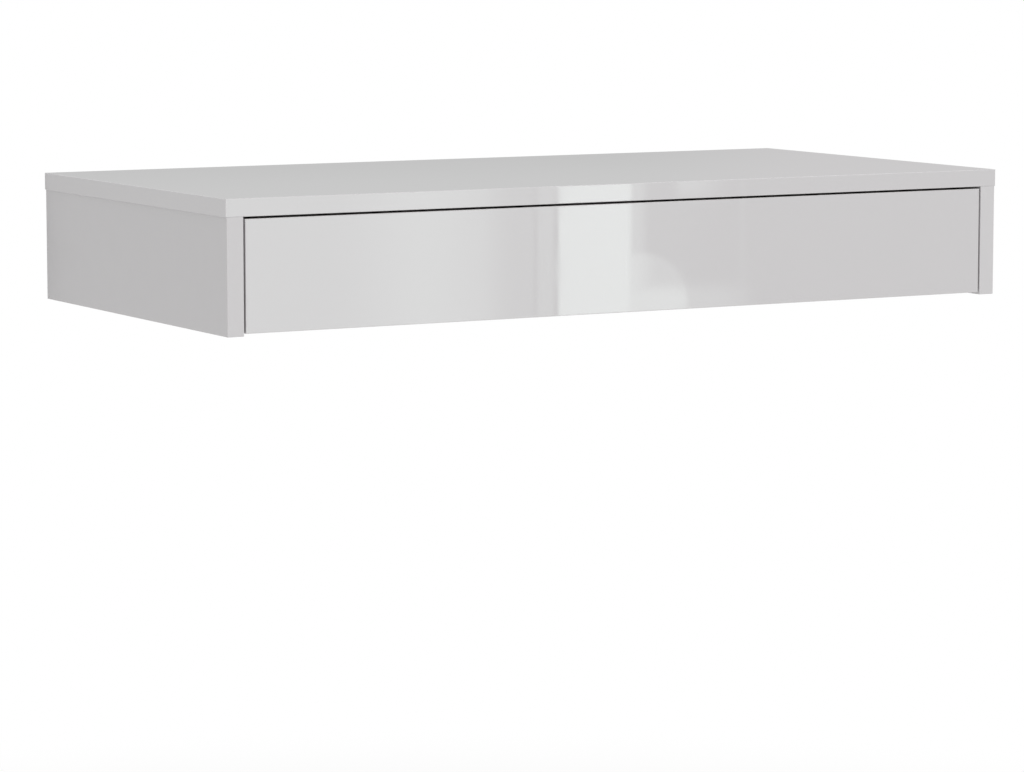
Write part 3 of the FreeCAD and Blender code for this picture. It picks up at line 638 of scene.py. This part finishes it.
for node in ("drawer_back_screws", "drawer_bottom_screws", "front_roller_pins", "rear_roller_pins"):
    metal_finish(node, SCREW_STEEL)


# Studio


def stage_mesh(name, points, faces):
    """A stage object made of these faces, and the look of its own material."""
    mesh = bpy.data.meshes.new(name)
    mesh.from_pydata(points, [], faces)
    staged = bpy.data.objects.new(name, mesh)
    bpy.context.scene.collection.objects.link(staged)
    material = bpy.data.materials.new(name)
    mesh.materials.append(material)
    return staged, Look(material)


def surface(look, shader):
    """Shows a shader on what the look belongs to."""
    output = next(n for n in look.tree.nodes if n.bl_idname.startswith("ShaderNodeOutput"))
    look.tree.links.new(shader, output.inputs["Surface"])


def white_to_the_eye(look):
    """White for the camera, mirrors and glass, and the plain ambient level as light."""
    path = look.tree.nodes.new("ShaderNodeLightPath")
    seen = [path.outputs[f"Is {kind} Ray"] for kind in ("Camera", "Glossy", "Transmission")]
    return look.step(look.most(seen), 0.0, 1.0, AMBIENT, 1.0)


def met_only_by(staged, *rays):
    """Lets only these rays meet a stage object."""
    for ray in RAYS:
        setattr(staged, "visible_" + ray, ray in rays)


def make_world():
    world = bpy.data.worlds.new("studio")
    bpy.context.scene.world = world
    look = Look(world)
    background = look.tree.nodes["Background"]
    look.plug(background.inputs["Color"], WHITE)
    look.plug(background.inputs["Strength"], white_to_the_eye(look))


def make_floor():
    """Pale floor that keeps the shadow near the shelf and turns white far away."""
    signs = ((-1, -1), (1, -1), (1, 1), (-1, 1))
    corners = [(x * FLOOR_REACH, y * FLOOR_REACH, FLOOR_LEVEL) for x, y in signs]
    _, look = stage_mesh("floor", corners, [(0, 1, 2, 3)])
    near = look.node("BsdfDiffuse", {"Color": FLOOR_COLOUR})
    far = look.node("Emission", {"Strength": white_to_the_eye(look)})
    x, y, _ = look.axes(look.place)
    shade = look.node("MixShader", {0: look.step(look.distance(x, y), *FLOOR_FADE), 1: near, 2: far})
    from_below = look.node("NewGeometry", output="Backfacing")
    surface(look, look.node("MixShader", {0: from_below, 1: shade, 2: look.node("BsdfTransparent")}))


def make_rear_walls():
    """Strips of wall that only light meets, flush with the shelf's rear on either side of it."""
    low, high = cad_box
    foot = low.z - REAR_WALL_WIDTH
    head = high.z + REAR_WALL_WIDTH
    for name, near, width in (("left", low.x, -REAR_WALL_WIDTH), ("right", high.x, REAR_WALL_WIDTH)):
        points = [(x, high.y, z) for x in (near, near + width) for z in (foot, head)]
        wall, look = stage_mesh(f"{name}_rear_wall", points, [(0, 1, 3, 2)])
        surface(look, look.node("BsdfDiffuse", {"Color": REAR_WALL_COLOUR}))
        met_only_by(wall, "diffuse", "shadow")


def make_walls():
    """Studio walls with tall soft windows above eye level."""
    turns = [math.radians(angle) for angle in range(0, 360, WALL_FACE_DEGREES)]
    ring = [(WALL_DISTANCE * math.sin(turn), WALL_DISTANCE * math.cos(turn)) for turn in turns]
    count = len(ring)
    points = [(x, y, z) for z in (FLOOR_LEVEL, WALL_TOP) for x, y in ring]
    faces = [(i, (i + 1) % count, count + (i + 1) % count, count + i) for i in range(count)]
    walls, look = stage_mesh("studio_walls", points, faces)
    x, y, z = look.axes(look.place)
    heading = look.math("ARCTAN2", x, y)
    right = look.step(heading, *WALL_RIGHT)
    tint = look.mix(right, WALL_TINT, WALL_RIGHT_TINT)
    light = look.math("ADD", wall_light(look, heading, z, right), window_light(look, heading, z))
    surface(look, look.node("Emission", {"Color": tint, "Strength": light}))
    met_only_by(walls, "glossy")


def wall_light(look, heading, height, right):
    """Light of the bare wall, brighter behind the shelf to the left, to the right and high up."""
    sunk = look.math("MULTIPLY_ADD", heading, WALL_RISE_SLOPE, height)
    rise = look.step(sunk, *WALL_RISE, 0.0, WALL_RISE_LIGHT)
    right_light = look.mix_number(right, rise, WALL_RIGHT_LIGHT)
    left_light = look.step(heading, *WALL_LEFT, right_light, WALL_LEFT_LIGHT)
    added = look.step(heading, *WALL_FAR_LEFT, 0.0, WALL_FAR_LEFT_LIGHT)
    behind = look.step(look.math("ABSOLUTE", heading), *WALL_REAR)
    return look.math("MULTIPLY_ADD", look.math("ADD", left_light, added), behind, WALL_LIGHT)


def window_light(look, heading, height):
    """Light that the windows add at a heading and a height."""
    turn_share = look.math("FRACT", look.math("MULTIPLY", heading, WINDOW_COUNT / (2 * math.pi)))
    off_middle = look.math("ABSOLUTE", look.math("SUBTRACT", turn_share, 0.5))
    half = WINDOW_SHARE / 2
    pane = look.step(off_middle, half + WINDOW_SOFTNESS, half - WINDOW_SOFTNESS)
    opening = look.math("MULTIPLY", look.step(height, *WINDOW_SILL), look.step(height, *WINDOW_HEAD))
    return look.math("MULTIPLY", look.math("MULTIPLY", pane, opening), WINDOW_LIGHT)


def make_card():
    """Card before the shelf, square to the mirrored view, so that it is laid out in photo columns."""
    front = cad_box[0].y
    eye = Vector((CAMERA_PLACE.x, 2 * front - CAMERA_PLACE.y, CAMERA_PLACE.z))
    ahead = Vector((math.sin(CAMERA_HEADING), -math.cos(CAMERA_HEADING), 0))
    across = Vector((math.cos(CAMERA_HEADING), math.sin(CAMERA_HEADING), 0))
    row_rise = (PHOTO_HEIGHT / 2 - DISC_ROW) / FOCAL_PIXELS
    forward = math.cos(CAMERA_DROP) + row_rise * math.sin(CAMERA_DROP)
    disc_rise = row_rise * math.cos(CAMERA_DROP) - math.sin(CAMERA_DROP)
    disc_height = eye.z + CARD_DISTANCE * disc_rise / forward
    pixel = CARD_DISTANCE / (FOCAL_PIXELS * forward)
    left, right = [(column - PHOTO_WIDTH / 2) * pixel for column in CARD_COLUMNS]
    low, high = CARD_HEIGHTS
    points = [(left, 0, low), (right, 0, low), (right, 0, high), (left, 0, high)]
    card, look = stage_mesh("front_card", points, [(0, 1, 2, 3)])
    place = eye + ahead * CARD_DISTANCE
    axes = Matrix((across, -ahead, Vector(UP))).transposed()
    card.matrix_world = Matrix.Translation((place.x, place.y, 0)) @ axes.to_4x4()
    x, _, z = look.axes(look.place)
    column = look.math("MULTIPLY_ADD", x, 1 / pixel, PHOTO_WIDTH / 2)
    upward = look.math("DIVIDE", look.math("SUBTRACT", z, disc_height), pixel)
    light = look.math("MAXIMUM", strip_light(look, column, upward), disc_light(look, column, upward))
    surface(look, look.node("Emission", {"Color": CARD_TINT, "Strength": light}))
    met_only_by(card, "glossy")


def strip_light(look, column, upward):
    """Light of the card and its strips at a column and a height in pixels above the disc."""
    light = CARD_LIGHT
    for strip in STRIPS.values():
        rise = look.step(column, strip.start - strip.rise, strip.start + strip.rise)
        fall = look.step(column, strip.end + strip.fall, strip.end - strip.fall)
        share = look.math("MULTIPLY", rise, fall)
        if strip.rows:
            share = look.math("MULTIPLY", share, look.step(upward, *strip.rows))
        light = look.math("MULTIPLY_ADD", share, strip.light, light)
    return light


def disc_light(look, column, upward):
    """Light of the disc at a column of the photograph and a height in pixels above its middle."""
    off_middle = look.distance(look.math("SUBTRACT", column, DISC_COLUMN), upward)
    disc = look.step(off_middle, DISC_PIXELS + DISC_SOFTNESS, DISC_PIXELS - DISC_SOFTNESS)
    lower = look.step(upward, *DISC_RISE, *DISC_LIGHT)
    left = look.step(column, *DISC_LEFT, *DISC_LEFT_LIGHT)
    return look.math("MULTIPLY", disc, look.math("MAXIMUM", lower, left))


def make_lamp(name, place, power):
    data = bpy.data.lights.new(name, "AREA")
    data.shape = "SQUARE"
    data.size = LAMP_SIZE
    data.energy = power
    lamp = bpy.data.objects.new(name, data)
    lamp.location = place
    middle = (cad_box[0] + cad_box[1]) / 2
    lamp.rotation_euler = (middle - lamp.location).to_track_quat("-Z", "Y").to_euler()
    lamp.visible_glossy = False
    bpy.context.scene.collection.objects.link(lamp)


def make_camera():
    data = bpy.data.cameras.new("camera")
    data.sensor_fit = "HORIZONTAL"
    data.sensor_width = SENSOR_WIDTH_MM
    data.lens = FOCAL_PIXELS * SENSOR_WIDTH_MM / PHOTO_WIDTH
    camera = bpy.data.objects.new("camera", data)
    camera.location = CAMERA_PLACE
    camera.rotation_euler = (math.pi / 2 - CAMERA_DROP, 0, -CAMERA_HEADING)
    bpy.context.scene.collection.objects.link(camera)
    bpy.context.scene.camera = camera


make_world()
make_floor()
make_rear_walls()
make_walls()
make_card()
for name, (place, power) in LAMPS.items():
    make_lamp(name, place, power)
make_camera()
bpy.context.scene.view_settings.view_transform = "Standard"
